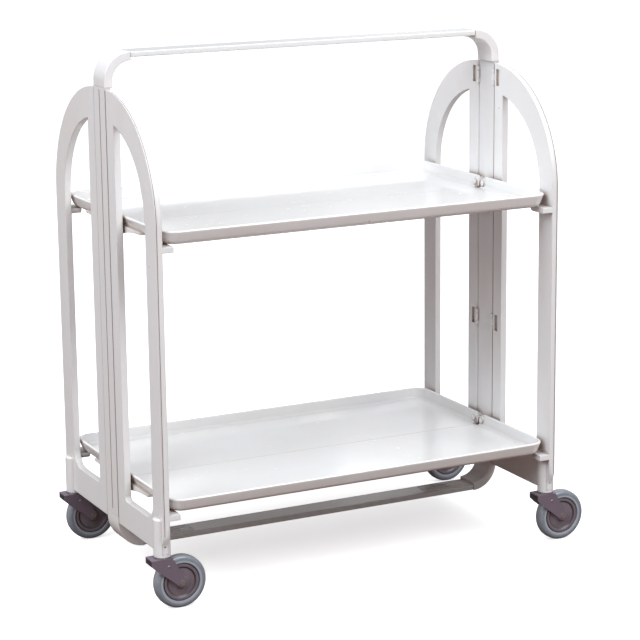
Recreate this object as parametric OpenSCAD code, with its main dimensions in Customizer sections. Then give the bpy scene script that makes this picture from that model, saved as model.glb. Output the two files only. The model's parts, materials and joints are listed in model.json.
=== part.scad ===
// Folding serving trolley: a flat loop frame, four arched leg frames hinged to its posts,
// two shelves made of folding half trays, and four swivel casters.
// X runs along the handle, Y across the trolley, Z up from the floor.

/* [Overall] */
// Height of the handle's top above the floor
overall_h = 795; // [760:1:840]
// Length over the outer faces of the two posts
overall_l = 664; // [600:2:760]
// Depth over the outer edges of the legs
overall_d = 397; // [380:1:430]

/* [Loop frame] */
// Width of the posts and of the corner mouldings
band_w = 44; // [43:1:48]
// Thickness of the posts
band_t = 9; // [9:0.5:11]
// Thickness of the corner mouldings
corner_t = 13; // [11:0.5:14]
// Outer bend radius of the corner mouldings
corner_r = 42; // [38:1:46]
// Height of the underside of the loop above the floor
loop_z = 45; // [42:1:50]

/* [Leg frames] */
// Thickness of a leg frame
wing_t = 10; // [9:0.5:11]
// Width of the upright leg
leg_w = 38; // [34:1:42]
// Width of the stile beside the post
stile_w = 27; // [24:1:30]
// Height of the bottom edge of the apron
apron_z = 87; // [85:1:90]
// Height of the window's bottom edge
window_z = 130; // [126:1:134]
// Height of the top of the arch
arch_top = 742; // [730:1:750]

/* [Shelves] */
// Height of the upper shelf's rim
upper_rim_z = 560; // [550:1:570]
// Height of the lower shelf's rim
lower_rim_z = 168; // [166:1:180]
// Depth of a tray from its rim to its underside
tray_h = 21; // [20:0.5:22]
// Thickness of a tray's floor
floor_t = 3.5; // [3:0.5:4]

/* [Casters] */
// Radius of the wheel
wheel_r = 40; // [38:0.5:40]
// Distance from the swivel axis back to the axle
trail = 26; // [24:1:28]

/* [Hidden] */

$fn = 72;
e = 0.01;             // overshoot of a cut past the face it opens

plastic = "ivory";
tray_white = "white";
steel = "silver";
fork_grey = "rosybrown";
hub_grey = "thistle";
rubber_grey = "slategray";

// loop frame
post_x = overall_l / 2;              // outer face of a post
post_in = post_x - band_t;           // inner face of a post
bend_in = corner_r - corner_t;       // inner bend radius
bend_foot = 9;                       // straight part of a corner below its bend
bend_x = post_x - corner_r;          // where a corner's bend meets its rail
post_z0 = loop_z + corner_r + bend_foot;     // foot of a post
post_z1 = overall_h - corner_r - bend_foot;  // head of a post
groove_w = 3;                        // groove down a post's outer face
groove_d = 1.5;
tenon = [4, 30, 20];                 // thickness, width and length of a corner's tenon
tenon_in = 2;                        // tenon's distance from the post's inner face
rail_t = band_t - 1;                 // the rails are slimmer than the corners
rail_w = band_w - 2;
rail_r = corner_r - band_t + 0.5;    // underside of the handle above the bend's centre
lap = [85, 30, rail_t / 2];          // length, width and thickness of a corner's tongue in its rail
lap_screws = [34, 71];               // screws, measured from the corner's end of the rail
screw_r = 2;
screw_head_r = 4;

// leg frames
gap = 2;                             // shadow gap between a post and its leg frames
wing_y0 = band_w / 2 + gap;
wing_y1 = overall_d / 2;
wing_out = post_x - 0.5;
wing_in = wing_out - wing_t;
arch_r = wing_y1 - band_w / 2;       // outer radius of the arch
arch_z = arch_top - arch_r;
arch_band = leg_w + 4;               // the arch is a little wider than the leg
win_y0 = wing_y0 + stile_w;
win_y1 = wing_y1 - leg_w;
win_r = arch_r - arch_band;          // radius of the window's arched top
win_arch_z = arch_z - 4;
win_corner = 25;                     // window's lower corner beside the leg
win_corner_in = 8;                   // window's lower corner beside the stile
seam_w = 1.1;                        // shadow line round the edge of a leg frame
seam_d = 0.9;
foot = [15, 27];                     // where the leg's edge steps in to the sleeve, above the apron
ledge = [17, leg_w - 2, 8.5];        // ledge under each tray corner: x, y, z
ledge_round = 6;

// hinge between a post and a leg frame
hinge_x = wing_in - 0.3;
hinge_y = band_w / 2 + gap / 2;
knuckle_r = 2.8;
hinge_pin_r = 1.25;
hinge_z = [112, 325, arch_top - 22];
knuckle_mid = 6;                     // half length of the leg frame's knuckle
knuckle_gap = 0.3;
knuckle_end = 13;                    // half length of the whole hinge
run = 0.05;                          // radial clearance of a running fit

// trays
tray_x = wing_in - 3.7;              // half length over the rims
tray_y = wing_y1 - 0.5;              // outer edge of a half tray
tray_corner = 26;
tray_seam = 0.4;                     // half of the gap between two half trays
tray_foot = 14;                      // how far in from the rim the floor begins
rim_r = 2.5;
wall_angle = 200;                    // where the outer wall leaves its lower bend
pivot_y = 12;
pivot_drop = 10;                     // pivot below the rim
pivot_pin_r = 3;
ear_r = 7;
ear_t = 8;
ear_out = tray_x;                    // outer face of a tray's pivot ear
notch_y = 8;                         // end wall stops this far from the middle
notch_r = 8;                         // rounding of the end wall's top there
cheek_drop = 13;                     // cheek below the tray's underside at the pivot
cheek_y = 108;                       // outer end of the cheek

// tray brackets
bracket_back = [post_in - (ear_out + 0.5), 11];  // thickness and half width of the back plate
bracket_block = [9, 1.7];            // reach and half width of the rib between the two ears
pin_start = ear_out - ear_t - 0.5;   // inner end of a pivot pin's shank
pin_head = [pivot_pin_r + 1.5, 1.5]; // radius and thickness
bracket_leg = 48;                    // back plate below the pivots
bracket_screw_z = [40, 24];

// casters
stem_x = post_x - 5;
stem_y = (win_y1 + wing_y1) / 2;
sleeve_r = 12.5;
sleeve_z0 = 2 * wheel_r + 2;
sleeve_z1 = sleeve_z0 + 56;
sleeve_tip = 3;                      // bevel at the sleeve's top
socket_r = 6.5;
socket_len = 28;
socket_flange = [10, 1];             // radius and thickness
socket_pin = [1.5, 16];              // radius, and height above the sleeve's foot
socket_pin_in = 5;                   // inner end of the pin, from the swivel axis
stem_r = 4;
race_t = 1;
plate_t = 2;
tyre_w = 18;
hub_r = 28.5;
fork_in = 10.7;
fork_out = fork_in + plate_t;
fork_back = 21;
fork_front = 11;
axle_r = 3;
axle_head = [4.2, 0.9];              // radius and thickness
fork_tip_r = 6.5;
bead = 7.6;                          // half width of the tyre where it grips the hub
plate_z1 = sleeve_z0 - socket_flange[1] - race_t;  // top of the fork's plate
plate_z0 = plate_z1 - plate_t;

// the middle of the footprint, casters included, is the origin
cart_x = -(trail + wheel_r - fork_back) / 2;

// ---------- placing ----------

module flip_x(on) { if (on) mirror([1, 0, 0]) children(); else children(); }
module flip_y(on) { if (on) mirror([0, 1, 0]) children(); else children(); }

// children are drawn for the right rear quarter, and go to the named quarter
module quarter(left, front) {
    translate([cart_x, 0, 0]) flip_x(left) flip_y(front) children();
}

// a flat shape given as [y, z], standing at x and t thick towards +X
module upright(x, t) {
    translate([x, 0, 0]) rotate([90, 0, 90]) linear_extrude(height = t) children();
}

// a flat shape given as [x, z], from y0 to y1
module across(y0, y1) {
    translate([0, y1, 0]) rotate([90, 0, 0]) linear_extrude(height = y1 - y0) children();
}

function arc(c, r, a0, a1, n) =
    [for (i = [0:n]) let (a = a0 + (a1 - a0) * i / n) [c[0] + r * cos(a), c[1] + r * sin(a)]];

// ---------- screws and pins ----------

// countersunk screw with its head's flat top at the origin, pointing along -Z
module screw(length) {
    translate([0, 0, -2]) cylinder(r1 = screw_r, r2 = screw_head_r, h = 2);
    translate([0, 0, -length]) cylinder(r = screw_r, h = length - 1);
}

// ---------- loop frame ----------

module post_hinge_side() {
    for (z = hinge_z) {
        for (s = [-1, 1])
            translate([hinge_x, hinge_y, z + s * (knuckle_mid + knuckle_end + knuckle_gap) / 2])
                cylinder(r = knuckle_r, h = knuckle_end - knuckle_mid - knuckle_gap, center = true);
        for (s = [-1, 1])
            translate([hinge_x, hinge_y - knuckle_r, z + s * (knuckle_mid + knuckle_end + knuckle_gap) / 2])
                translate([0, 0, -(knuckle_end - knuckle_mid - knuckle_gap) / 2])
                    cube([post_in + 1 - hinge_x, knuckle_r - gap / 2, knuckle_end - knuckle_mid - knuckle_gap]);
    }
}

module post() {
    difference() {
        union() {
            translate([post_in, -band_w / 2, post_z0]) cube([band_t, band_w, post_z1 - post_z0]);
            post_hinge_side();
            mirror([0, 1, 0]) post_hinge_side();
        }
        // groove down the outer face
        translate([post_x - groove_d, -groove_w / 2, post_z0 + 8])
            cube([groove_d + 1, groove_w, post_z1 - post_z0 - 12]);
        // mortises for the corners' tenons
        for (z = [post_z0 - e, post_z1 - tenon[2] - 0.5])
            translate([post_in + tenon_in, -tenon[1] / 2, z]) cube([tenon[0], tenon[1], tenon[2] + 0.5 + e]);
        for (s = [-1, 1], z = hinge_z) {
            // bore for the hinge pin, and room for the leg frame's knuckle
            translate([hinge_x, s * hinge_y, z - knuckle_end - 1])
                cylinder(r = hinge_pin_r, h = 2 * knuckle_end + 2);
            translate([hinge_x, s * hinge_y, z - knuckle_mid - knuckle_gap])
                cylinder(r = knuckle_r + 0.4, h = 2 * (knuckle_mid + knuckle_gap));
        }
        for (rim = [upper_rim_z, lower_rim_z], d = bracket_screw_z)
            translate([post_in - 1, 0, rim - pivot_drop - d])
                rotate([0, 90, 0]) cylinder(r = screw_r, h = 7);
    }
}

module left_post() { color(plastic) quarter(true, false) post(); }
module right_post() { color(plastic) quarter(false, false) post(); }

// a bend with a tenon down into the post and a tongue along the rail
module corner() {
    difference() {
        union() {
            rotate([90, 0, 0]) rotate_extrude(angle = 90, $fn = 144)
                translate([bend_in, -band_w / 2]) square([corner_t, band_w]);
            translate([bend_in, -band_w / 2, -bend_foot]) cube([corner_t, band_w, bend_foot]);
            translate([corner_r - band_t + tenon_in, -tenon[1] / 2, -bend_foot - tenon[2]])
                cube([tenon[0], tenon[1], tenon[2] + 1]);
            translate([-lap[0], -lap[1] / 2, rail_r]) cube([lap[0] + 1, lap[1], lap[2]]);
        }
        for (d = lap_screws)
            translate([-d, 0, rail_r]) mirror([0, 0, 1]) screw(lap[2] + 1);
    }
}

module top_corner() {
    translate([bend_x, 0, overall_h - corner_r]) corner();
}
module bottom_corner() {
    translate([bend_x, 0, loop_z + corner_r]) mirror([0, 0, 1]) corner();
}
module top_left_corner() { color(plastic) quarter(true, false) top_corner(); }
module top_right_corner() { color(plastic) quarter(false, false) top_corner(); }
module bottom_left_corner() { color(plastic) quarter(true, false) bottom_corner(); }
module bottom_right_corner() { color(plastic) quarter(false, false) bottom_corner(); }

// drawn with its inner face, the one the tongues lie in, at z = 0
module rail() {
    difference() {
        translate([-bend_x, -rail_w / 2, 0]) cube([2 * bend_x, rail_w, rail_t]);
        for (s = [0, 1]) mirror([s, 0, 0]) {
            translate([bend_x - lap[0] - 0.3, -lap[1] / 2, -1]) cube([lap[0] + 1, lap[1], lap[2] + 1]);
            for (d = lap_screws) translate([bend_x - d, 0, lap[2] - 1]) cylinder(r = screw_r, h = 4);
        }
    }
}

module handle_rail() {
    color(tray_white) translate([cart_x, 0, overall_h - band_t + 0.5]) rail();
}
module bottom_rail() {
    color(tray_white) translate([cart_x, 0, loop_z + band_t - 0.5]) mirror([0, 0, 1]) rail();
}

module rail_screws() {
    color(steel) for (left = [false, true], d = lap_screws) quarter(left, false) {
        translate([bend_x - d, 0, overall_h - band_t + 0.5]) mirror([0, 0, 1]) screw(rail_t - 1.2);
        translate([bend_x - d, 0, loop_z + band_t - 0.5]) screw(rail_t - 1.2);
    }
}

// ---------- leg frames ----------

// outline of a leg frame, drawn in by inset along its arch and leg
module wing_outline(inset) {
    intersection() {
        translate([band_w / 2, arch_z]) circle(r = arch_r - inset, $fn = 180);
        translate([wing_y0, arch_z - e]) square([arch_r, arch_r + 1]);
    }
    polygon([
        [wing_y0, apron_z], [stem_y + sleeve_r - inset, apron_z],
        [stem_y + sleeve_r - inset, apron_z + foot[0]], [wing_y1 - inset, apron_z + foot[1]],
        [wing_y1 - inset, arch_z], [wing_y0, arch_z]
    ]);
}

module wing_window() {
    intersection() {
        translate([win_y1 - win_r, win_arch_z]) circle(r = win_r, $fn = 180);
        translate([win_y0, win_arch_z - e]) square([win_r, win_r]);
    }
    translate([win_y0, window_z + win_corner]) square([win_y1 - win_y0, win_arch_z - window_z - win_corner]);
    translate([win_y0, window_z + win_corner_in])
        square([win_y1 - win_corner - win_y0, win_corner]);
    translate([win_y0 + win_corner_in, window_z])
        square([win_y1 - win_y0 - win_corner_in - win_corner, win_corner]);
    translate([win_y0 + win_corner_in, window_z + win_corner_in]) circle(r = win_corner_in);
    translate([win_y1 - win_corner, window_z + win_corner]) circle(r = win_corner);
}

// ledge that a tray's corner rests on, rounded off below
module tray_ledge(under) {
    upright(wing_in - ledge[0], ledge[0] + 1) difference() {
        translate([wing_y1 - ledge[1], under - ledge[2]]) square([ledge[1], ledge[2]]);
        difference() {
            translate([wing_y1 - ledge[1] - 1, under - ledge[2] - 1]) square(ledge_round + 1);
            translate([wing_y1 - ledge[1] + ledge_round, under - ledge[2] + ledge_round])
                circle(r = ledge_round);
        }
    }
}

module wing_body() {
    difference() {
        union() {
            upright(wing_in, wing_t) difference() {
                wing_outline(0);
                wing_window();
            }
            for (rim = [upper_rim_z, lower_rim_z]) tray_ledge(rim - tray_h - 0.3);
            // sleeve for the caster, bevelled off at its top
            translate([stem_x, stem_y, sleeve_z0]) cylinder(r = sleeve_r, h = sleeve_z1 - sleeve_z0);
            translate([stem_x, stem_y, sleeve_z1])
                cylinder(r1 = sleeve_r, r2 = sleeve_r - sleeve_tip, h = sleeve_tip);
        }
        // shadow line round the edge of the arch and the leg
        upright(wing_out - 1.3 - seam_w, seam_w) difference() {
            wing_outline(-3);
            wing_outline(seam_d);
            square([win_y0, apron_z + 3]);
            translate([0, -1]) square([wing_y1 + 9, apron_z + foot[1] + 2]);
            translate([0, arch_z]) square([wing_y0 + 4, arch_r + 9]);
        }
        // inner edge beside the post is bevelled so that the leg frame can turn
        translate([0, 0, apron_z - 1]) linear_extrude(height = arch_top - apron_z + 2)
            polygon([[wing_in - 1, wing_y0 - 1], [wing_in + 3.5, wing_y0 - 1],
                     [wing_in - 1, wing_y0 + 3.5]]);
    }
}

// middle knuckle of a hinge, with the web that carries it
module wing_knuckle() {
    cylinder(r = knuckle_r, h = 2 * knuckle_mid, center = true);
    translate([0, 0, -knuckle_mid]) cube([knuckle_r, wing_y0 + 3 - hinge_y, 2 * knuckle_mid]);
}

module wing() {
    difference() {
        union() {
            wing_body();
            for (z = hinge_z) translate([hinge_x, hinge_y, z]) wing_knuckle();
        }
        for (z = hinge_z) {
            translate([hinge_x, hinge_y, z - knuckle_end - 1])
                cylinder(r = hinge_pin_r + run, h = 2 * knuckle_end + 2);
            // room for the post's knuckles
            for (s = [-1, 1])
                translate([hinge_x, hinge_y, z + s * (knuckle_mid + knuckle_end + knuckle_gap) / 2])
                    cylinder(r = knuckle_r + 0.4, h = knuckle_end - knuckle_mid + 0.3, center = true);
            // recess in the stile behind the hinge
            translate([wing_in - 1, wing_y0 + 7, z - knuckle_end]) cube([5, 9, 2 * knuckle_end]);
        }
        // caster socket, its flange and its retaining pin
        translate([stem_x, stem_y, sleeve_z0 - 1]) cylinder(r = socket_r, h = socket_len + 1);
        translate([stem_x, stem_y, sleeve_z0 + socket_pin[1]])
            rotate([-90, 0, 0]) cylinder(r = socket_pin[0], h = sleeve_r + 9);
    }
}

module front_left_leg_frame() { color(plastic) quarter(true, true) wing(); }
module front_right_leg_frame() { color(plastic) quarter(false, true) wing(); }
module rear_left_leg_frame() { color(plastic) quarter(true, false) wing(); }
module rear_right_leg_frame() { color(plastic) quarter(false, false) wing(); }

module hinge_pins() {
    for (z = hinge_z) translate([hinge_x, hinge_y, z])
        cylinder(r = hinge_pin_r, h = 2 * knuckle_end, center = true);
}
module front_left_hinge_pins() { color(steel) quarter(true, true) hinge_pins(); }
module front_right_hinge_pins() { color(steel) quarter(false, true) hinge_pins(); }
module rear_left_hinge_pins() { color(steel) quarter(true, false) hinge_pins(); }
module rear_right_hinge_pins() { color(steel) quarter(false, false) hinge_pins(); }

// ---------- trays ----------

// section through a tray's wall: x is the distance in from the rim, y the height above the underside
wall = concat(
    arc([tray_foot, 10], 10, 270, wall_angle, 8),
    arc([rim_r, tray_h - rim_r], rim_r, 180, 15, 8),
    arc([tray_foot, 10], 10 - floor_t, 205, 270, 6),
    [[tray_foot + 2, floor_t], [tray_foot + 2, 0]]
);

// lower edge of the cheek, rising in a curve to the tray's underside
cheek_edge = [for (i = [0:10]) let (y = pivot_y + (cheek_y - pivot_y) * i / 10)
    [y, 2 - (cheek_drop + 2) * pow((cheek_y - y) / (cheek_y - pivot_y), 2)]];

// half of a half tray, from its middle to its right end, underside at z = 0
module tray_end() {
    bend = [tray_x - tray_corner, tray_y - tray_corner];
    // outer wall, corner, end wall
    translate([0, tray_y, 0]) rotate([90, 0, 90]) linear_extrude(height = bend[0])
        mirror([1, 0]) polygon(wall);
    translate([bend[0], bend[1], 0]) rotate_extrude(angle = 90, $fn = 96)
        translate([tray_corner, 0]) mirror([1, 0]) polygon(wall);
    difference() {
        translate([tray_x, bend[1], 0]) rotate([90, 0, 0]) linear_extrude(height = bend[1] - notch_y)
            mirror([1, 0]) polygon(wall);
        upright(tray_x - tray_foot, tray_foot + 1) difference() {
            translate([notch_y - 1, tray_h - notch_r]) square(notch_r + 1);
            translate([notch_y + notch_r, tray_h - notch_r]) circle(r = notch_r);
        }
    }
    // floor
    linear_extrude(height = floor_t) {
        translate([0, tray_seam]) square([tray_x - tray_foot, bend[1] - tray_seam]);
        translate([0, bend[1] - 1]) square([bend[0], tray_y - tray_foot - bend[1] + 1]);
        translate(bend) circle(r = tray_corner - tray_foot, $fn = 96);
    }
    // stiffening flange under the seam edge
    translate([0, tray_seam, -4]) cube([tray_x - tray_foot - 16, 3, 5]);
    // pivot ear and cheek
    pivot_z = tray_h - pivot_drop;
    upright(ear_out - ear_t, ear_t) {
        translate([pivot_y, pivot_z]) circle(r = ear_r);
        translate([pivot_y - ear_r, -cheek_drop + 4]) square([2 * ear_r, pivot_z + cheek_drop - 4]);
        translate([pivot_y - 3, -cheek_drop + 4]) circle(r = 4);
        polygon(concat([[pivot_y - 3, -cheek_drop]], cheek_edge, [[cheek_y, 6], [pivot_y - 3, 6]]));
    }
    // floor carried out to the ear
    translate([tray_x - tray_foot - 3, pivot_y - ear_r, 0])
        cube([tray_foot + 4 - ear_t, notch_y + 1 - pivot_y + ear_r, floor_t]);
}

module half_tray() {
    difference() {
        union() {
            tray_end();
            mirror([1, 0, 0]) tray_end();
        }
        for (s = [-1, 1])
            translate([s * (ear_out - ear_t / 2), pivot_y, tray_h - pivot_drop])
                rotate([0, 90, 0]) cylinder(r = pivot_pin_r + run, h = ear_t + 6, center = true);
    }
}

module shelf_half(rim, front) {
    color(tray_white) quarter(false, front) translate([0, 0, rim - tray_h]) half_tray();
}
module upper_front_tray() { shelf_half(upper_rim_z, true); }
module upper_rear_tray() { shelf_half(upper_rim_z, false); }
module lower_front_tray() { shelf_half(lower_rim_z, true); }
module lower_rear_tray() { shelf_half(lower_rim_z, false); }

// ---------- tray brackets ----------

module bracket_flat() {
    for (s = [-1, 1]) translate([s * pivot_y, 0]) circle(r = ear_r);
    translate([-pivot_y, -ear_r]) square([2 * pivot_y, 2 * ear_r - 2]);
}

// drawn with the pivots at z = 0
module bracket() {
    difference() {
        union() {
            upright(post_in - bracket_back[0], bracket_back[0]) {
                bracket_flat();
                translate([-bracket_back[1], -bracket_leg]) square([2 * bracket_back[1], bracket_leg]);
            }
            translate([ear_out - bracket_block[0], -bracket_block[1], -ear_r + 1])
                cube([bracket_block[0] + 1, 2 * bracket_block[1], 2 * ear_r - 4]);
        }
        for (s = [-1, 1]) translate([ear_out, s * pivot_y, 0])
            rotate([0, 90, 0]) cylinder(r = pivot_pin_r, h = post_in - ear_out + 1);
        for (d = bracket_screw_z)
            translate([post_in - bracket_back[0], 0, -d]) rotate([0, -90, 0]) screw(bracket_back[0] + 1);
    }
}

module bracket_at(rim, left) {
    color(plastic) quarter(left, false) translate([0, 0, rim - pivot_drop]) bracket();
}
module upper_left_bracket() { bracket_at(upper_rim_z, true); }
module upper_right_bracket() { bracket_at(upper_rim_z, false); }
module lower_left_bracket() { bracket_at(lower_rim_z, true); }
module lower_right_bracket() { bracket_at(lower_rim_z, false); }

module tray_pivot_pins() {
    color(steel) for (left = [false, true], front = [false, true], rim = [upper_rim_z, lower_rim_z])
        quarter(left, front) translate([0, pivot_y, rim - pivot_drop]) {
            translate([pin_start, 0, 0]) rotate([0, 90, 0]) cylinder(r = pivot_pin_r, h = post_in - pin_start);
            translate([pin_start - pin_head[1], 0, 0])
                rotate([0, 90, 0]) cylinder(r = pin_head[0], h = pin_head[1]);
        }
}

module bracket_screws() {
    color(steel) for (left = [false, true], rim = [upper_rim_z, lower_rim_z], d = bracket_screw_z)
        quarter(left, false) translate([post_in - bracket_back[0], 0, rim - pivot_drop - d])
            rotate([0, -90, 0]) screw(bracket_back[0] + 5.5);
}

// ---------- casters ----------

// children are drawn round the swivel axis, at the named quarter, and always trail towards +X
module at_caster(left, front) {
    translate([cart_x + (left ? -stem_x : stem_x), front ? -stem_y : stem_y, 0]) children();
}

module socket() {
    difference() {
        union() {
            translate([0, 0, sleeve_z0]) cylinder(r = socket_r, h = socket_len);
            translate([0, 0, sleeve_z0 - socket_flange[1]]) cylinder(r = socket_flange[0], h = socket_flange[1]);
        }
        translate([0, 0, sleeve_z0 - 2]) cylinder(r = stem_r, h = socket_len + 3);
    }
}

module stem() {
    translate([0, 0, plate_z0]) cylinder(r = stem_r, h = sleeve_z0 + socket_len - 2 - plate_z0);
    translate([0, 0, plate_z0 - 1.3]) cylinder(r = stem_r + 2, h = 1.3);
}

module race() {
    translate([0, 0, plate_z1]) difference() {
        cylinder(r = 11, h = race_t - 0.1);
        translate([0, 0, -1]) cylinder(r = stem_r + run, h = race_t + 2);
    }
}

// cheek of the fork as [x, z]
module fork_cheek() {
    polygon([
        [-fork_back, plate_z1], [-fork_back, plate_z1 - 9], [-fork_back + 7, plate_z1 - 16],
        [trail - 5.1, wheel_r - 4.1], [trail + 5.6, wheel_r + 3.3], [fork_front, plate_z1]
    ]);
    translate([trail, wheel_r]) circle(r = fork_tip_r);
}

module fork() {
    difference() {
        union() {
            translate([-fork_back, -fork_out, plate_z0])
                cube([fork_back + fork_front, 2 * fork_out, plate_t]);
            across(fork_in, fork_out) fork_cheek();
            across(-fork_out, -fork_in) fork_cheek();
        }
        translate([0, 0, plate_z0 - 1]) cylinder(r = stem_r + run, h = plate_t + 2);
        translate([trail, -fork_out - 1, wheel_r]) rotate([-90, 0, 0]) cylinder(r = axle_r, h = 2 * fork_out + 2);
    }
}

module at_axle() { translate([trail, 0, wheel_r]) rotate([-90, 0, 0]) children(); }

module axle() {
    at_axle() {
        cylinder(r = axle_r, h = 2 * fork_out, center = true);
        for (s = [-1, 1]) translate([0, 0, s * (fork_out + axle_head[1] / 2)])
            cylinder(r = axle_head[0], h = axle_head[1], center = true);
    }
}

// half section of the hub as [radius, width]
hub_edge = [[axle_r + run, 10.4], [8.5, 10.4], [9.5, 8], [21, 6.6], [23.5, 8.6], [27.6, 8.6], [hub_r, bead]];
module hub() {
    at_axle() rotate_extrude($fn = 96) polygon(concat(hub_edge,
        [for (i = [len(hub_edge) - 1:-1:0]) [hub_edge[i][0], -hub_edge[i][1]]]));
}

module tyre() {
    half = tyre_w / 2;
    at_axle() rotate_extrude($fn = 96) polygon(concat(
        [[hub_r, -bead], [hub_r + 1, -half]],
        arc([wheel_r - 6, -half + 6], 6, -90, 0, 6), arc([wheel_r - 6, half - 6], 6, 0, 90, 6),
        [[hub_r + 1, half], [hub_r, bead]]));
}

module front_left_socket() { color(steel) at_caster(true, true) socket_cut(-1); }
module front_right_socket() { color(steel) at_caster(false, true) socket_cut(-1); }
module rear_left_socket() { color(steel) at_caster(true, false) socket_cut(1); }
module rear_right_socket() { color(steel) at_caster(false, false) socket_cut(1); }

// socket with the blind hole for its retaining pin on the outer side
module socket_cut(side) {
    difference() {
        socket();
        translate([0, side * socket_pin_in, sleeve_z0 + socket_pin[1]])
            rotate([-90 * side, 0, 0]) cylinder(r = socket_pin[0], h = 4);
    }
}

module socket_pins() {
    color(steel) for (left = [false, true], front = [false, true]) quarter(left, front)
        translate([stem_x, stem_y + socket_pin_in, sleeve_z0 + socket_pin[1]])
            rotate([-90, 0, 0]) cylinder(r = socket_pin[0], h = sleeve_r - socket_pin_in - 0.4);
}

module front_left_stem() { color(steel) at_caster(true, true) stem(); }
module front_right_stem() { color(steel) at_caster(false, true) stem(); }
module rear_left_stem() { color(steel) at_caster(true, false) stem(); }
module rear_right_stem() { color(steel) at_caster(false, false) stem(); }

module front_left_race() { color(steel) at_caster(true, true) race(); }
module front_right_race() { color(steel) at_caster(false, true) race(); }
module rear_left_race() { color(steel) at_caster(true, false) race(); }
module rear_right_race() { color(steel) at_caster(false, false) race(); }

module front_left_fork() { color(fork_grey) at_caster(true, true) fork(); }
module front_right_fork() { color(fork_grey) at_caster(false, true) fork(); }
module rear_left_fork() { color(fork_grey) at_caster(true, false) fork(); }
module rear_right_fork() { color(fork_grey) at_caster(false, false) fork(); }

module front_left_axle() { color(steel) at_caster(true, true) axle(); }
module front_right_axle() { color(steel) at_caster(false, true) axle(); }
module rear_left_axle() { color(steel) at_caster(true, false) axle(); }
module rear_right_axle() { color(steel) at_caster(false, false) axle(); }

module front_left_hub() { color(hub_grey) at_caster(true, true) hub(); }
module front_right_hub() { color(hub_grey) at_caster(false, true) hub(); }
module rear_left_hub() { color(hub_grey) at_caster(true, false) hub(); }
module rear_right_hub() { color(hub_grey) at_caster(false, false) hub(); }

module front_left_tyre() { color(rubber_grey) at_caster(true, true) tyre(); }
module front_right_tyre() { color(rubber_grey) at_caster(false, true) tyre(); }
module rear_left_tyre() { color(rubber_grey) at_caster(true, false) tyre(); }
module rear_right_tyre() { color(rubber_grey) at_caster(false, false) tyre(); }

left_post();
right_post();
top_left_corner();
top_right_corner();
bottom_left_corner();
bottom_right_corner();
handle_rail();
bottom_rail();
front_left_leg_frame();
front_right_leg_frame();
rear_left_leg_frame();
rear_right_leg_frame();
front_left_hinge_pins();
front_right_hinge_pins();
rear_left_hinge_pins();
rear_right_hinge_pins();
upper_front_tray();
upper_rear_tray();
lower_front_tray();
lower_rear_tray();
upper_left_bracket();
upper_right_bracket();
lower_left_bracket();
lower_right_bracket();
tray_pivot_pins();
bracket_screws();
rail_screws();
front_left_socket();
front_right_socket();
rear_left_socket();
rear_right_socket();
front_left_stem();
front_right_stem();
rear_left_stem();
rear_right_stem();
front_left_race();
front_right_race();
rear_left_race();
rear_right_race();
front_left_fork();
front_right_fork();
rear_left_fork();
rear_right_fork();
front_left_axle();
front_right_axle();
rear_left_axle();
rear_right_axle();
front_left_hub();
front_right_hub();
rear_left_hub();
rear_right_hub();
front_left_tyre();
front_right_tyre();
rear_left_tyre();
rear_right_tyre();
socket_pins();
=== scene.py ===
"""Looks of the folding serving trolley: materials, softened edges, fork rivets, light and camera."""
import json
from math import cos, pi, radians, sin

import bmesh
import bpy
from mathutils import Matrix, Vector


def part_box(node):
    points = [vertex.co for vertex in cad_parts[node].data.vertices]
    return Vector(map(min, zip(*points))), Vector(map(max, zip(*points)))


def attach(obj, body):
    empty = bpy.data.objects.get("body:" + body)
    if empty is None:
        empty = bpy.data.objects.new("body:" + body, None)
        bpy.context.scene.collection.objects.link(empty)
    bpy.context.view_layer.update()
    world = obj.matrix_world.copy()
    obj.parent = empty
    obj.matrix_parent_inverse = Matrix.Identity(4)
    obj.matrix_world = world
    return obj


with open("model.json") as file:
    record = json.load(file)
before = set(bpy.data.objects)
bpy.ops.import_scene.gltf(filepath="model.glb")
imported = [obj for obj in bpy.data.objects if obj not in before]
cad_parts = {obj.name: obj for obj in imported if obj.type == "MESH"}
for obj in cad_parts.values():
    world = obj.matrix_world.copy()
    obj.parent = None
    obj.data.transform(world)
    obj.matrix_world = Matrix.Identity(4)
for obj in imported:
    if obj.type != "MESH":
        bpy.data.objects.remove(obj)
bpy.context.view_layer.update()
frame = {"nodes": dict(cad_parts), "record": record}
nodes = frame["nodes"]
MM = 0.001

# camera: metres and degrees, lens and sensor in millimetres
CAMERA_AT = (-1.5118, -3.0134, 1.1320)
CAMERA_YAW = 26.65
CAMERA_PITCH = -12.95
CAMERA_ROLL = 0.63
CAMERA_LENS = 124.74
CAMERA_SENSOR = 36.0
CAMERA_REACH = 100.0

# material colours, linear
FRAME_WHITE = (0.815, 0.82, 0.835)
FRAME_AGED = (0.80, 0.785, 0.775)
RAIL_WHITE = (0.80, 0.81, 0.83)
RAIL_AGED = (0.79, 0.80, 0.80)
TRAY_WHITE = (0.85, 0.853, 0.865)
TRAY_AGED = (0.81, 0.81, 0.80)
FORK_GREY = (0.200, 0.162, 0.205)
HUB_GREY = (0.175, 0.147, 0.172)
TYRE_GREY = (0.20, 0.225, 0.265)
# colour of the painted highlight ring on the tyre next to the hub
TYRE_HIGHLIGHT = (0.44, 0.48, 0.53)
TYRE_DUST = (0.30, 0.29, 0.29)
STEEL = (0.62, 0.61, 0.60)
STEEL_BLOOM = (0.42, 0.43, 0.45)
# brown of the dirt and painted shade in seams and corners
SEAM_DIRT_AND_SHADE = (0.36, 0.275, 0.22)
STAIN = (0.42, 0.31, 0.20)

PLASTIC_IOR = 1.5
LOOKUP_SAMPLES = 6          # rays for each point's edge rounding and seam depth

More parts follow.
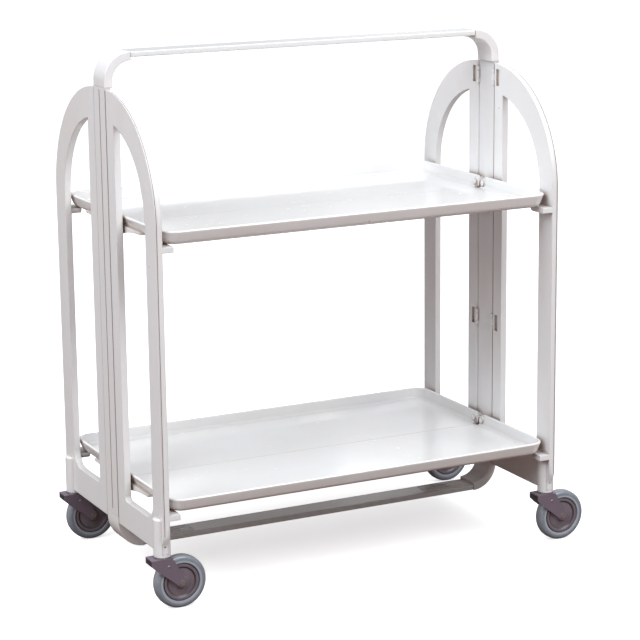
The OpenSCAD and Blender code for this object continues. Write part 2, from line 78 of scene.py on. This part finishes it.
# studio colours, linear
FLOOR_HALF = 14.0
FLOOR_SHOWN = (0.86, 0.86, 0.86)
FLOOR_BOUNCE = (0.125, 0.072, 0.056)
FLOOR_GLOW = 0.58
FLOOR_ROUGHNESS = 0.9
HORIZON_LEFT = (0.15, 0.112, 0.098)
HORIZON_RIGHT = (0.22, 0.188, 0.178)
ZENITH = (1.02, 1.045, 1.09)
BACKDROP = (1, 1, 1)
BACKDROP_IN_GLOSS = 0.25
WORLD_STRENGTH = 0.85
# Z and X of a direction's unit vector between which the world's colours change
WORLD_RISE = (-0.1, 0.9)
WORLD_SIDES = (-0.9, 0.3)

# name, place, width and height in metres, watts, colour
SOFTBOX_AIM = (0, 0, 0.4)
SOFTBOXES = [
    ("key", (0.9, -2.4, 2.6), (2.2, 1.6), 68.0, (1.0, 1.0, 1.0)),
    ("side", (-3.0, -0.9, 2.9), (2.6, 2.6), 112.0, (0.97, 0.985, 1.0)),
    ("fill", (2.4, 2.6, 2.4), (2.2, 2.2), 16.0, (0.98, 0.99, 1.0)),
]


# ---------- node helpers ----------

class NodeTree:
    """Adds nodes to a tree; every method but add, link and put returns an output socket."""

    def __init__(self, tree):
        self.tree = tree
        self.coords = self.add("ShaderNodeTexCoord")

    def add(self, kind, **values):
        node = self.tree.nodes.new(kind)
        for key, value in values.items():
            setattr(node, key, value)
        return node

    def link(self, source, target):
        self.tree.links.new(source, target)

    def put(self, target, value):
        if isinstance(value, bpy.types.NodeSocket):
            self.link(value, target)
        else:
            target.default_value = value

    def ramp(self, value, low, high, out_low=0.0, out_high=1.0):
        """value from low to high, mapped to out_low to out_high and held beyond them."""
        node = self.add("ShaderNodeMapRange")
        self.put(node.inputs["Value"], value)
        for key, number in (("From Min", low), ("From Max", high),
                            ("To Min", out_low), ("To Max", out_high)):
            node.inputs[key].default_value = number
        return node.outputs["Result"]

    def math(self, operation, a, b=0.0):
        node = self.add("ShaderNodeMath", operation=operation)
        self.put(node.inputs[0], a)
        self.put(node.inputs[1], b)
        return node.outputs[0]

    def times(self, a, b):
        return self.math("MULTIPLY", a, b)

    def mix(self, factor, a, b):
        node = self.add("ShaderNodeMix", data_type="RGBA")
        self.put(node.inputs["Factor"], factor)
        for key, colour in (("A", a), ("B", b)):
            self.put(node.inputs[key],
                     colour if isinstance(colour, bpy.types.NodeSocket) else (*colour, 1))
        return node.outputs["Result"]

    def light_ray(self, kind):
        """1 for light rays of one kind, such as Camera or Glossy."""
        return self.add("ShaderNodeLightPath").outputs[f"Is {kind} Ray"]


class Shader(NodeTree):
    """One material with a Principled surface."""

    def __init__(self, name):
        self.mat = bpy.data.materials.new(name)
        self.mat.use_nodes = True
        super().__init__(self.mat.node_tree)
        self.bsdf = self.tree.nodes["Principled BSDF"]

    def stretched(self, scale):
        """Object coordinates, scaled along each axis."""
        node = self.add("ShaderNodeMapping")
        node.inputs["Scale"].default_value = scale
        self.link(self.coords.outputs["Object"], node.inputs["Vector"])
        return node.outputs["Vector"]

    def noise(self, scale, detail=3.0, roughness=0.55, stretch=(1, 1, 1)):
        node = self.add("ShaderNodeTexNoise")
        node.inputs["Scale"].default_value = scale
        node.inputs["Detail"].default_value = detail
        node.inputs["Roughness"].default_value = roughness
        self.link(self.stretched(stretch), node.inputs["Vector"])
        return node.outputs["Fac"]

    def cells(self, scale):
        node = self.add("ShaderNodeTexVoronoi")
        node.inputs["Scale"].default_value = scale
        self.link(self.stretched((1, 1, 1)), node.inputs["Vector"])
        return node.outputs["Distance"]

    def bump(self, height, depth_mm, strength, normal=None):
        node = self.add("ShaderNodeBump")
        node.inputs["Distance"].default_value = depth_mm * MM
        node.inputs["Strength"].default_value = strength
        self.link(height, node.inputs["Height"])
        if normal is not None:
            self.link(normal, node.inputs["Normal"])
        return node.outputs["Normal"]

    def rounded(self, radius_mm):
        """Normal of the surface with its edges rounded off."""
        node = self.add("ShaderNodeBevel", samples=LOOKUP_SAMPLES)
        node.inputs["Radius"].default_value = radius_mm * MM
        return node.outputs["Normal"]

    def seams(self, reach_mm, closed, open_air):
        """1 deep in seams and corners, 0 on open faces."""
        node = self.add("ShaderNodeAmbientOcclusion", samples=LOOKUP_SAMPLES)
        node.inputs["Distance"].default_value = reach_mm * MM
        return self.ramp(node.outputs["AO"], closed, open_air, 1.0, 0.0)

    def specks(self, scale, size, rare):
        """Small scattered specks, kept to the places where a slow noise is above rare."""
        here = self.ramp(self.cells(scale), size * 0.5, size, 1.0, 0.0)
        return self.times(here, self.ramp(self.noise(scale * 0.4, detail=1.0), rare, rare + 0.02))

    def band(self, value, start, end, soft):
        """1 between start and end."""
        return self.times(self.ramp(value, start - soft, start),
                          self.ramp(value, end, end + soft, 1.0, 0.0))

    def edges(self, low=0.51, high=0.60):
        """1 on convex edges, 0 elsewhere."""
        geometry = self.add("ShaderNodeNewGeometry")
        return self.ramp(geometry.outputs["Pointiness"], low, high)

    def finish(self, **inputs):
        for key, value in inputs.items():
            self.put(self.bsdf.inputs[key.replace("_", " ")], value)
        return self.mat


def shaded(colour, factor):
    return tuple(c * factor for c in colour)


# ---------- materials ----------

def moulded_plastic(name, colour, aged, roughness, flow, coat, edge_mm):
    """Injection-moulded plastic with tone drift, flow lines, fine grain, hairline scuffs,
    dark specks, dirt and painted shade darkening the seams and corners, and edges softened over
    edge_mm."""
    s = Shader(name)
    drift = s.noise(7.0, detail=2.0)
    flow_lines = s.noise(30.0, detail=3.0, roughness=0.5, stretch=flow)
    grain = s.noise(2600.0, detail=2.0)
    scuffs = s.ramp(s.noise(90.0, detail=6.0, roughness=0.75, stretch=(1, 1, 9)), 0.60, 0.70)
    specks = s.specks(scale=26.0, size=0.045, rare=0.56)
    # dirt and painted shade: seams, corners and closed-in places darkened towards a brown
    seam_dirt_and_shade = s.seams(reach_mm=12, closed=0.32, open_air=0.86)
    tone = s.mix(s.ramp(drift, 0.35, 0.68), colour, aged)
    tone = s.mix(s.ramp(flow_lines, 0.40, 0.75, out_high=0.22), tone, shaded(colour, 0.93))
    tone = s.mix(s.times(s.edges(), 0.35), tone, shaded(colour, 1.06))
    tone = s.mix(s.times(specks, 0.7), tone, STAIN)
    tone = s.mix(s.times(seam_dirt_and_shade, 0.85), tone, SEAM_DIRT_AND_SHADE)
    gloss = s.math("ADD", s.ramp(drift, 0.3, 0.7, roughness - 0.05, roughness + 0.05),
                   s.times(scuffs, 0.14))
    waves = s.bump(flow_lines, depth_mm=0.25, strength=0.20, normal=s.rounded(edge_mm))
    skin = s.bump(grain, depth_mm=0.02, strength=0.5, normal=waves)
    return s.finish(Base_Color=tone, Roughness=gloss, Normal=skin, IOR=PLASTIC_IOR,
                    Coat_Weight=coat, Coat_Roughness=0.08, Subsurface_Weight=0.04)


def painted_steel(name, colour):
    """Stamped steel under a semi-gloss paint, rubbed bright at its edges."""
    s = Shader(name)
    fleck = s.ramp(s.noise(1500.0, detail=2.0), 0.45, 0.7, out_high=0.40)
    cloud = s.noise(60.0)
    rubbed = s.ramp(s.noise(260.0, detail=4.0), 0.45, 0.62, out_high=0.6)
    worn = s.times(s.edges(0.56, 0.66), rubbed)
    tone = s.mix(fleck, colour, shaded(colour, 1.5))
    tone = s.mix(s.ramp(cloud, 0.35, 0.7, out_high=0.25), tone, shaded(colour, 0.75))
    tone = s.mix(worn, tone, STEEL)
    return s.finish(Base_Color=tone, Metallic=s.ramp(worn, 0.0, 1.0, 0.25, 1.0),
                    Roughness=s.ramp(cloud, 0.3, 0.7, 0.30, 0.46),
                    Normal=s.bump(s.noise(700.0), depth_mm=0.05, strength=0.5))


def bright_steel(name):
    """Zinc-plated steel with turning marks and a dull bloom."""
    s = Shader(name)
    turned = s.noise(1400.0, detail=2.0, roughness=0.5, stretch=(1, 1, 14))
    bloom = s.noise(110.0, detail=4.0)
    tone = s.mix(s.ramp(bloom, 0.4, 0.7, out_high=0.5), STEEL, STEEL_BLOOM)
    return s.finish(Base_Color=tone, Metallic=1.0, Roughness=s.ramp(bloom, 0.3, 0.7, 0.22, 0.42),
                    Normal=s.bump(turned, depth_mm=0.03, strength=0.5))


# a wheel's steps, as shares of its part's outer radius: the joint between hub and tyre, the hub's
# rim groove and the tyre's rolling face
WHEEL_JOINT = (0.745, 0.80)
HUB_RIM = (0.955, 1.0)
TREAD = (0.965, 0.995)


def radius_from_middle(s):
    """Distance from the middle of a wheel part's own box in its XZ plane: 1 at its rim."""
    move = s.add("ShaderNodeMapping")
    move.inputs["Location"].default_value = (-1, 0, -1)
    move.inputs["Scale"].default_value = (2, 0, 2)
    s.link(s.coords.outputs["Generated"], move.inputs["Vector"])
    length = s.add("ShaderNodeVectorMath", operation="LENGTH")
    s.link(move.outputs["Vector"], length.inputs[0])
    return length.outputs["Value"]


def turned_rings(s, radius, count):
    return s.math("SINE", s.times(radius, count))


def hub_plastic(name):
    """Mauve-grey moulded disc with faint turned rings, dust in its recess, and painted shade
    darkening its joint with the tyre and its rim groove.
    """
    s = Shader(name)
    radius = radius_from_middle(s)
    rings = turned_rings(s, radius, 160.0)
    cloud = s.noise(80.0, detail=4.0)
    dust = s.times(s.ramp(cloud, 0.4, 0.7), 0.30)
    tone = s.mix(dust, HUB_GREY, shaded(HUB_GREY, 1.7))
    tone = s.mix(s.times(s.edges(), 0.4), tone, shaded(HUB_GREY, 2.2))
    # painted shade: the joint with the tyre and the rim groove darkened as if in shadow
    tone = s.mix(s.band(radius, *WHEEL_JOINT, soft=0.02), tone, shaded(HUB_GREY, 0.35))
    tone = s.mix(s.band(radius, *HUB_RIM, soft=0.01), tone, shaded(HUB_GREY, 0.25))
    grain = s.bump(s.noise(1500.0), depth_mm=0.03, strength=0.4)
    return s.finish(Base_Color=tone, Roughness=s.ramp(cloud, 0.3, 0.7, 0.26, 0.40), IOR=PLASTIC_IOR,
                    Normal=s.bump(rings, depth_mm=0.02, strength=0.35, normal=grain), Metallic=0.12)


def tyre_rubber(name):
    """Blue-grey rubber, duller and dustier on its rolling face, with a painted highlight ring next to
    the hub.
    """
    s = Shader(name)
    radius = radius_from_middle(s)
    tread = s.ramp(radius, *TREAD)
    cloud = s.noise(140.0, detail=5.0, roughness=0.65)
    dust = s.times(tread, s.ramp(cloud, 0.35, 0.65, 0.25, 0.8))
    # painted highlight: a bright ring on the tyre next to the hub
    highlight_ring = s.band(radius, *WHEEL_JOINT, soft=0.02)
    tone = s.mix(s.ramp(cloud, 0.35, 0.7, out_high=0.5), TYRE_GREY, shaded(TYRE_GREY, 1.5))
    tone = s.mix(dust, tone, TYRE_DUST)
    tone = s.mix(s.times(highlight_ring, 0.75), tone, TYRE_HIGHLIGHT)
    rings = turned_rings(s, radius, 210.0)
    grain = s.bump(s.noise(1900.0), depth_mm=0.06, strength=0.5)
    return s.finish(Base_Color=tone, Roughness=s.ramp(tread, 0.0, 1.0, 0.28, 0.60),
                    Normal=s.bump(rings, depth_mm=0.03, strength=0.25, normal=grain),
                    Coat_Weight=0.3, Coat_Roughness=0.15, IOR=PLASTIC_IOR)


ALONG_Z = (1, 1, 0.08)
ALONG_X = (0.10, 1, 1)
ALONG_RAIL = (0.06, 1, 1)

LOOKS = {
    "frame_plastic": moulded_plastic("frame_plastic", FRAME_WHITE, FRAME_AGED, roughness=0.34,
                                     flow=ALONG_Z, coat=0.25, edge_mm=1.6),
    "rail_plastic": moulded_plastic("rail_plastic", RAIL_WHITE, RAIL_AGED, roughness=0.24,
                                    flow=ALONG_RAIL, coat=0.5, edge_mm=1.2),
    "tray_plastic": moulded_plastic("tray_plastic", TRAY_WHITE, TRAY_AGED, roughness=0.19,
                                    flow=ALONG_X, coat=0.6, edge_mm=1.0),
    "bright_steel": bright_steel("bright_steel"),
    "fork_steel": painted_steel("fork_steel", FORK_GREY),
    "hub_plastic": hub_plastic("hub_plastic"),
    "tyre_rubber": tyre_rubber("tyre_rubber"),
}

for part in frame["record"]["subparts"]:
    materials = nodes[part["node"]].data.materials
    materials.clear()
    materials.append(LOOKS[part["material_slot"]])


# ---------- softened edges ----------

# width in millimetres of the rounding on each family of CAD nodes, by the end of the node's name
EDGE_WIDTH = {
    "post": 0.9, "corner": 1.3, "rail": 1.4, "leg_frame": 1.0, "tray": 0.6, "bracket": 0.7,
    "fork": 0.4, "hub": 0.5, "axle": 0.5, "socket": 0.2, "race": 0.2, "stem": 0.2,
}
WELD_GAP = 0.002
EDGE_STEPS = 3
EDGE_ANGLE = 38
FLATNESS_WEIGHT = 80


def soften(obj, width):
    """Joins the mesh's faces, rounds its hard edges and keeps its flats flat."""
    weld = obj.modifiers.new("weld", "WELD")
    weld.merge_threshold = WELD_GAP * MM
    bevel = obj.modifiers.new("bevel", "BEVEL")
    bevel.width = width * MM
    bevel.segments = EDGE_STEPS
    bevel.limit_method = "ANGLE"
    bevel.angle_limit = radians(EDGE_ANGLE)
    bevel.use_clamp_overlap = not obj.name.endswith("rail")
    bevel.miter_outer = "MITER_ARC"
    normals = obj.modifiers.new("normals", "WEIGHTED_NORMAL")
    normals.keep_sharp = False
    normals.weight = FLATNESS_WEIGHT


for node_name, node in nodes.items():
    for ending, width in EDGE_WIDTH.items():
        if node_name.endswith(ending):
            soften(node, width)


# ---------- rivets on the forks ----------

RIVET_R = 1.7 * MM
RIVET_RISE = 0.6 * MM
RIVET_ROOT = 0.4 * MM       # how far a rivet's skirt goes into the cheek
RIVET_TRAIL = 5.0 * MM      # from the swivel axis towards the axle
RIVET_DROP = 12.0 * MM      # below the fork's top
RIVET_SIDES = 24
RIVET_RINGS = 6


def rivet(mesh, centre, out):
    """Domed rivet head facing along Y, its skirt sunk into the cheek."""
    profile = [(RIVET_R, -RIVET_ROOT)]
    profile += [(RIVET_R * cos(a), RIVET_RISE * sin(a))
                for a in (i * pi / 2 / RIVET_RINGS for i in range(RIVET_RINGS))]
    loops = []
    for radius, rise in profile:
        loops.append([mesh.verts.new((centre[0] + radius * cos(t), centre[1] + out * rise,
                                      centre[2] + radius * sin(t)))
                      for t in (2 * pi * k / RIVET_SIDES for k in range(RIVET_SIDES))])
    top = mesh.verts.new((centre[0], centre[1] + out * RIVET_RISE, centre[2]))
    for low, high in zip(loops, loops[1:]):
        for k in range(RIVET_SIDES):
            n = (k + 1) % RIVET_SIDES
            mesh.faces.new((low[k], low[n], high[n], high[k]))
    for k in range(RIVET_SIDES):
        mesh.faces.new((loops[-1][k], loops[-1][(k + 1) % RIVET_SIDES], top))
    mesh.faces.new(loops[0])


def fork_rivets(corner):
    """One rivet head on the outside of each cheek of a caster's fork."""
    name = corner + "_fork_rivets"
    lo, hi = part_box(corner + "_fork")
    stem_lo, stem_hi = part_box(corner + "_stem")
    x = (stem_lo.x + stem_hi.x) / 2 + RIVET_TRAIL
    z = hi.z - RIVET_DROP
    build = bmesh.new()
    for y, out in ((lo.y, -1), (hi.y, 1)):
        rivet(build, (x, y, z), out)
    bmesh.ops.recalc_face_normals(build, faces=build.faces)
    mesh = bpy.data.meshes.new(name)
    build.to_mesh(mesh)
    build.free()
    for face in mesh.polygons:
        face.use_smooth = len(face.vertices) <= 4
    mesh.materials.append(LOOKS["bright_steel"])
    piece = bpy.data.objects.new(name, mesh)
    bpy.context.scene.collection.objects.link(piece)
    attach(piece, corner + "_swivel")


for caster in ("front_left", "front_right", "rear_left", "rear_right"):
    fork_rivets(caster)


# ---------- stage, light and camera ----------

def studio_floor():
    """Pale floor with a soft shadow, whose light on the object is warmer and darker than it looks."""
    mesh = bpy.data.meshes.new("floor")
    ring = [(-1, -1), (1, -1), (1, 1), (-1, 1)]
    mesh.from_pydata([(x * FLOOR_HALF, y * FLOOR_HALF, 0) for x, y in ring], [], [(0, 1, 2, 3)])
    floor = bpy.data.objects.new("floor", mesh)
    bpy.context.scene.collection.objects.link(floor)
    s = Shader("floor")
    seen = s.light_ray("Camera")
    mesh.materials.append(s.finish(
        Base_Color=s.mix(seen, FLOOR_BOUNCE, FLOOR_SHOWN), Roughness=FLOOR_ROUGHNESS,
        Emission_Color=(1, 1, 1, 1), Emission_Strength=s.times(seen, FLOOR_GLOW)))


def studio_world():
    """White behind the object and, more weakly, in its gloss; as a light, brightest overhead,
    and dim and warm near the horizon."""
    world = bpy.data.worlds.new("studio")
    bpy.context.scene.world = world
    world.use_nodes = True
    n = NodeTree(world.node_tree)
    split = n.add("ShaderNodeSeparateXYZ")
    n.link(n.coords.outputs["Generated"], split.inputs[0])
    horizon = n.mix(n.ramp(split.outputs["X"], *WORLD_SIDES), HORIZON_LEFT, HORIZON_RIGHT)
    sky = n.mix(n.ramp(split.outputs["Z"], *WORLD_RISE), horizon, ZENITH)
    in_gloss = n.times(n.light_ray("Glossy"), BACKDROP_IN_GLOSS)
    shown = n.math("ADD", in_gloss, n.light_ray("Camera"))
    background = n.tree.nodes["Background"]
    n.link(n.mix(shown, sky, BACKDROP), background.inputs["Color"])
    background.inputs["Strength"].default_value = WORLD_STRENGTH


def softbox(name, at, size, power, colour):
    light = bpy.data.lights.new(name, "AREA")
    light.shape = "RECTANGLE"
    light.size, light.size_y = size
    light.energy = power
    light.color = colour
    obj = bpy.data.objects.new(name, light)
    obj.location = at
    obj.rotation_euler = (Vector(SOFTBOX_AIM) - Vector(at)).to_track_quat("-Z", "Y").to_euler()
    bpy.context.scene.collection.objects.link(obj)


def studio_camera():
    camera = bpy.data.cameras.new("camera")
    camera.lens = CAMERA_LENS
    camera.sensor_width = CAMERA_SENSOR
    camera.clip_end = CAMERA_REACH
    obj = bpy.data.objects.new("camera", camera)
    yaw, pitch, roll = (radians(v) for v in (CAMERA_YAW, CAMERA_PITCH, CAMERA_ROLL))
    ahead = Vector((sin(yaw) * cos(pitch), cos(yaw) * cos(pitch), sin(pitch)))
    right = ahead.cross(Vector((0, 0, 1))).normalized()
    right = Matrix.Rotation(roll, 3, ahead) @ right
    up = right.cross(ahead)
    turn = Matrix((right, up, -ahead)).transposed().to_4x4()
    obj.matrix_world = Matrix.Translation(CAMERA_AT) @ turn
    bpy.context.scene.collection.objects.link(obj)
    bpy.context.scene.camera = obj


studio_floor()
studio_world()
for box in SOFTBOXES:
    softbox(*box)
studio_camera()
bpy.context.scene.view_settings.view_transform = "Standard"
